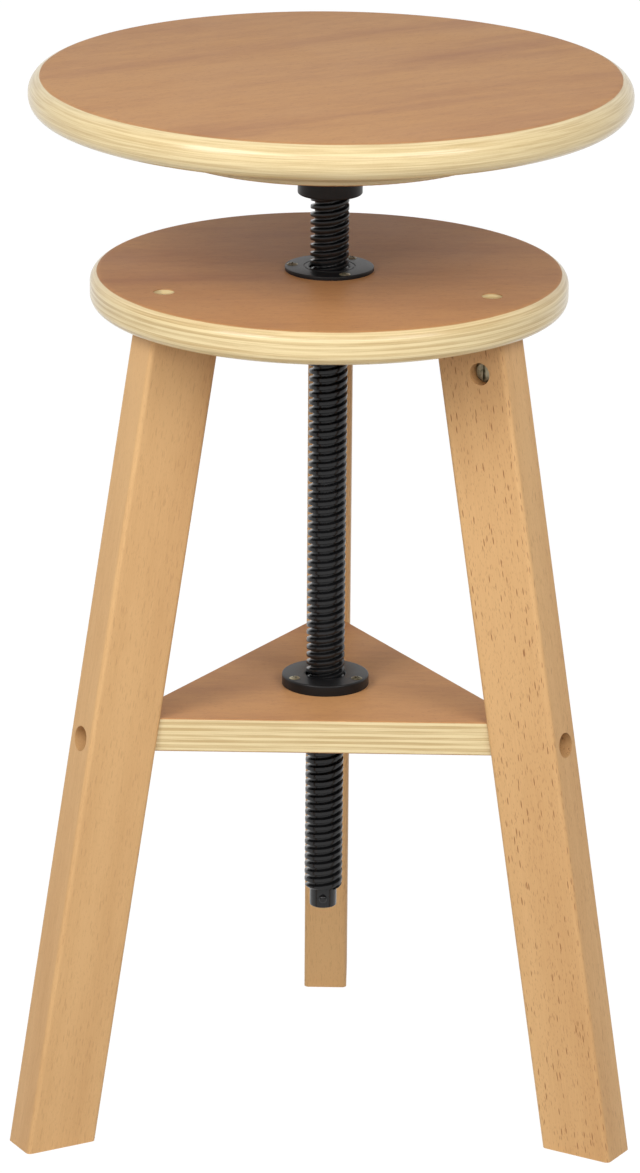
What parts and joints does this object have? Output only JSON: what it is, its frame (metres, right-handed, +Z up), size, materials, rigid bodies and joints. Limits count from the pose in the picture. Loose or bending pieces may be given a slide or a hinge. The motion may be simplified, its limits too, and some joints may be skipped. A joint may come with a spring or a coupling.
{
  "type": "machinist stool",
  "caption": "Machinist stool with a round wooden seat that turns up and down on a black screw, a round top plate, and leaning beech legs tied by a low triangular shelf",
  "frame": {"origin": "on the floor, on the axis of the lift screw", "axes": "+Z up along the lift screw; +Y towards the back leg; +X towards the right leg as seen from the front, where no leg stands"},
  "size_m": [0.3882, 0.4023, 0.665],
  "materials": {
    "plywood": "clear satin varnish",
    "beech": "clear satin varnish",
    "black_steel": "satin black",
    "zinc_steel": "bright zinc plate"
  },
  "bodies": {
    "stand": {"top_plate": "plywood", "upper_nut": "black_steel", "upper_nut_screws": "zinc_steel", "shelf": "plywood", "lower_nut": "black_steel", "lower_nut_screws": "zinc_steel", "leg_left": "beech", "leg_right": "beech", "leg_back": "beech", "top_bolts": "zinc_steel", "top_barrel_nuts": "zinc_steel", "shelf_bolts": "zinc_steel", "shelf_bolt_washers": "zinc_steel", "shelf_barrel_nuts": "zinc_steel"},
    "lift": {"hub_washer": "zinc_steel"},
    "seat": {"seat_board": "plywood", "seat_backing_disc": "plywood", "backing_disc_screws": "zinc_steel", "seat_hub": "black_steel", "seat_hub_screws": "zinc_steel", "lift_screw": "black_steel", "lift_stop_pin": "zinc_steel", "hub_bolt": "zinc_steel"}
  },
  "joints": [
    {"name": "seat_lift", "type": "slide", "parent": "stand", "child": "lift", "axis": [0, 0, 1], "range_m": [-0.0455, 0.118]},
    {"name": "seat_turn", "type": "hinge", "parent": "lift", "child": "seat", "pos_m": [0, 0, 0.62], "axis": [0, 0, 1], "range_deg": [-1637, 4247]}
  ],
  "couplings": [
    {"joint": "seat_lift", "follows": "seat_turn", "m_per_rad": 0.0015915}
  ]
}
